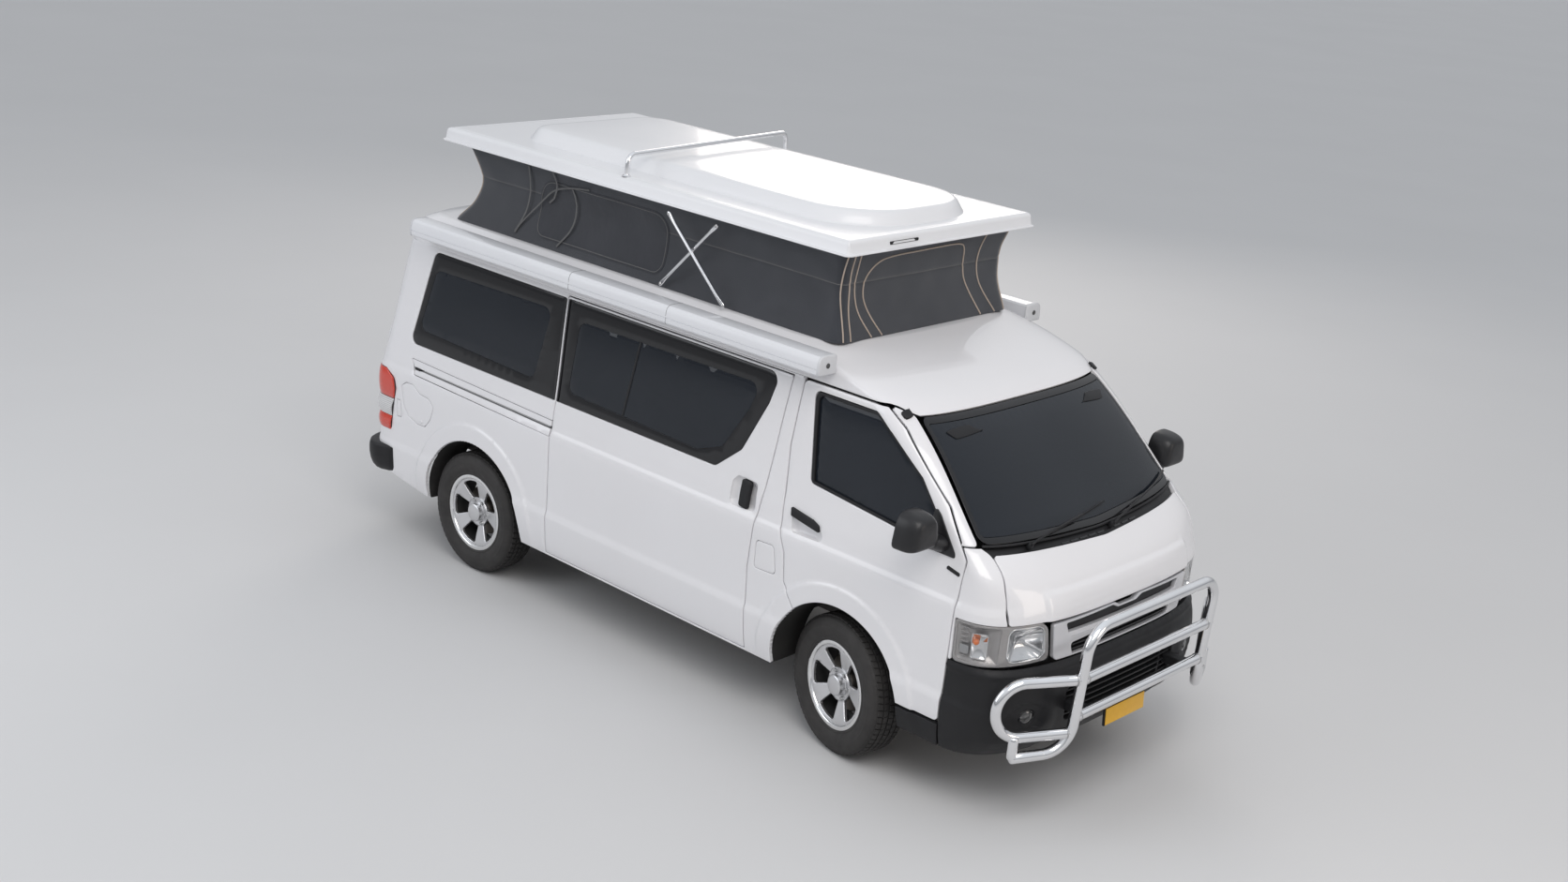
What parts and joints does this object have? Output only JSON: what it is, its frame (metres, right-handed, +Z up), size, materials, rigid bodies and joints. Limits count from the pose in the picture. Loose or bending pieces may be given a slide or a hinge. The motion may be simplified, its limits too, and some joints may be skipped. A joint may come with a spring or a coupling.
{
  "type": "camper van",
  "caption": "Forward-control camper van with a raised pop-top roof, canvas walls, side awnings, opening doors, steering and a tube bull bar.",
  "frame": {"origin": "on the ground under the middle of the van's overall length and width", "axes": "+X forward, +Y to the van's left, +Z up"},
  "size_m": [4.8295, 2.14, 2.473],
  "materials": {
    "body_paint": "gloss white",
    "black_plastic": "satin black",
    "dark_glass": "dark tinted",
    "clear_lens": "clear lens",
    "red_lens": "red and amber lens",
    "polished_steel": "polished",
    "alloy": "machined alloy",
    "tyre": "black rubber",
    "steel": "underbody black",
    "canvas": "dark grey canvas",
    "grp": "white moulded shell",
    "cloth": "grey seat cloth",
    "trim": "dark grey trim",
    "wood": "light laminate"
  },
  "bodies": {
    "chassis": {"awnings": "grp", "body_side_left": "body_paint", "body_side_right": "body_paint", "bull_bar": "polished_steel", "chassis_frame": "steel", "cowl_panel": "black_plastic", "dashboard": "trim", "engine": "steel", "exhaust": "steel", "floor_pan": "steel", "front_bumper": "black_plastic", "front_suspension": "steel", "fuel_tank": "steel", "grille": "body_paint", "headlamps": "clear_lens", "kitchen_unit": "wood", "leaf_spring_left": "steel", "leaf_spring_right": "steel", "nose_panel": "body_paint", "rear_axle": "steel", "rear_bench": "wood", "rear_bumper": "black_plastic", "roof_panel": "grp", "seats": "cloth", "side_glass": "dark_glass", "sliding_door": "body_paint", "tail_lamps": "red_lens", "wheel_wells": "alloy", "windscreen": "dark_glass"},
    "bonnet": {"bonnet": "body_paint"},
    "pop_top": {"canvas": "canvas", "pop_top_lid": "grp", "roof_cross_bar": "grp"},
    "front_door_left": {"door_mirror_left": "black_plastic", "front_door_glass_left": "dark_glass", "front_door_left": "body_paint"},
    "front_door_right": {"door_mirror_right": "black_plastic", "front_door_glass_right": "dark_glass", "front_door_right": "body_paint"},
    "knuckle_left": {"knuckle_left": "steel"},
    "knuckle_right": {"knuckle_right": "steel"},
    "tailgate": {"rear_pod": "grp", "tailgate": "body_paint", "tailgate_glass": "dark_glass"},
    "steering_wheel": {"steering_wheel": "trim"},
    "strut_aft_left": {"strut_aft_left": "polished_steel"},
    "strut_aft_right": {"strut_aft_right": "polished_steel"},
    "strut_fore_left": {"strut_fore_left": "polished_steel"},
    "strut_fore_right": {"strut_fore_right": "polished_steel"},
    "front_wheel_left": {"tyre_front_left": "tyre", "wheel_front_left": "alloy"},
    "front_wheel_right": {"tyre_front_right": "tyre", "wheel_front_right": "alloy"},
    "rear_wheel_left": {"tyre_rear_left": "tyre", "wheel_rear_left": "alloy"},
    "rear_wheel_right": {"tyre_rear_right": "tyre", "wheel_rear_right": "alloy"}
  },
  "joints": [
    {"name": "steer_left", "type": "hinge", "parent": "chassis", "child": "knuckle_left", "pos_m": [1.299, 0.64, 0.335], "axis": [0, 0, 1], "range_deg": [-21.4, 46.6]},
    {"name": "front_wheel_spin_left", "type": "hinge", "parent": "knuckle_left", "child": "front_wheel_left", "pos_m": [1.31689, 0.72003, 0.335], "axis": [0.2181, 0.9759, 0], "continuous": true},
    {"name": "rear_wheel_spin_left", "type": "hinge", "parent": "chassis", "child": "rear_wheel_left", "pos_m": [-1.388, 0.722, 0.335], "axis": [0, 1, 0], "continuous": true},
    {"name": "front_door_hinge_left", "type": "hinge", "parent": "chassis", "child": "front_door_left", "pos_m": [1.931, 0.856, 0.7015], "axis": [0, 0, -1], "range_deg": [0, 65]},
    {"name": "steer_right", "type": "hinge", "parent": "chassis", "child": "knuckle_right", "pos_m": [1.299, -0.64, 0.335], "axis": [0, 0, 1], "range_deg": [-21.4, 46.6]},
    {"name": "front_wheel_spin_right", "type": "hinge", "parent": "knuckle_right", "child": "front_wheel_right", "pos_m": [1.28111, -0.72003, 0.335], "axis": [0.2181, 0.9759, 0], "continuous": true},
    {"name": "rear_wheel_spin_right", "type": "hinge", "parent": "chassis", "child": "rear_wheel_right", "pos_m": [-1.388, -0.722, 0.335], "axis": [0, 1, 0], "continuous": true},
    {"name": "front_door_hinge_right", "type": "hinge", "parent": "chassis", "child": "front_door_right", "pos_m": [1.931, -0.856, 0.7015], "axis": [0, 0, 1], "range_deg": [0, 65]},
    {"name": "steering_wheel_turn", "type": "hinge", "parent": "chassis", "child": "steering_wheel", "pos_m": [1.656, 0.415, 1.175], "axis": [-0.5736, 0, 0.8192], "range_deg": [-299.6, 652.4]},
    {"name": "tailgate_hinge", "type": "hinge", "parent": "chassis", "child": "tailgate", "pos_m": [-2.192, 0, 1.707], "axis": [0, 1, 0], "range_deg": [0, 85]},
    {"name": "bonnet_hinge", "type": "hinge", "parent": "chassis", "child": "bonnet", "pos_m": [1.935, 0, 1.221], "axis": [0, -1, 0], "range_deg": [0, 45]},
    {"name": "pop_top_lift", "type": "slide", "parent": "chassis", "child": "pop_top", "axis": [0, 0, 1], "range_m": [-0.37, 0], "deforming": ["canvas"]},
    {"name": "strut_fore_left_pivot", "type": "hinge", "parent": "chassis", "child": "strut_fore_left", "pos_m": [0.255, 0.686, 1.886], "axis": [0, -1, 0], "range_deg": [0, 41.41]},
    {"name": "strut_aft_left_pivot", "type": "hinge", "parent": "chassis", "child": "strut_aft_left", "pos_m": [-0.195, 0.664, 1.886], "axis": [0, 1, 0], "range_deg": [0, 45.23]},
    {"name": "strut_fore_right_pivot", "type": "hinge", "parent": "chassis", "child": "strut_fore_right", "pos_m": [0.255, -0.686, 1.886], "axis": [0, -1, 0], "range_deg": [0, 41.41]},
    {"name": "strut_aft_right_pivot", "type": "hinge", "parent": "chassis", "child": "strut_aft_right", "pos_m": [-0.195, -0.664, 1.886], "axis": [0, 1, 0], "range_deg": [0, 45.23]}
  ],
  "couplings": [
    {"joint": "steer_right", "follows": "steer_left", "ratio": 1},
    {"joint": "steering_wheel_turn", "follows": "steer_left", "ratio": 14},
    {"joint": "strut_fore_left_pivot", "follows": "pop_top_lift", "rad_per_m": -1.9533},
    {"joint": "strut_aft_left_pivot", "follows": "pop_top_lift", "rad_per_m": -2.1334},
    {"joint": "strut_fore_right_pivot", "follows": "pop_top_lift", "rad_per_m": -1.9533},
    {"joint": "strut_aft_right_pivot", "follows": "pop_top_lift", "rad_per_m": -2.1334}
  ]
}
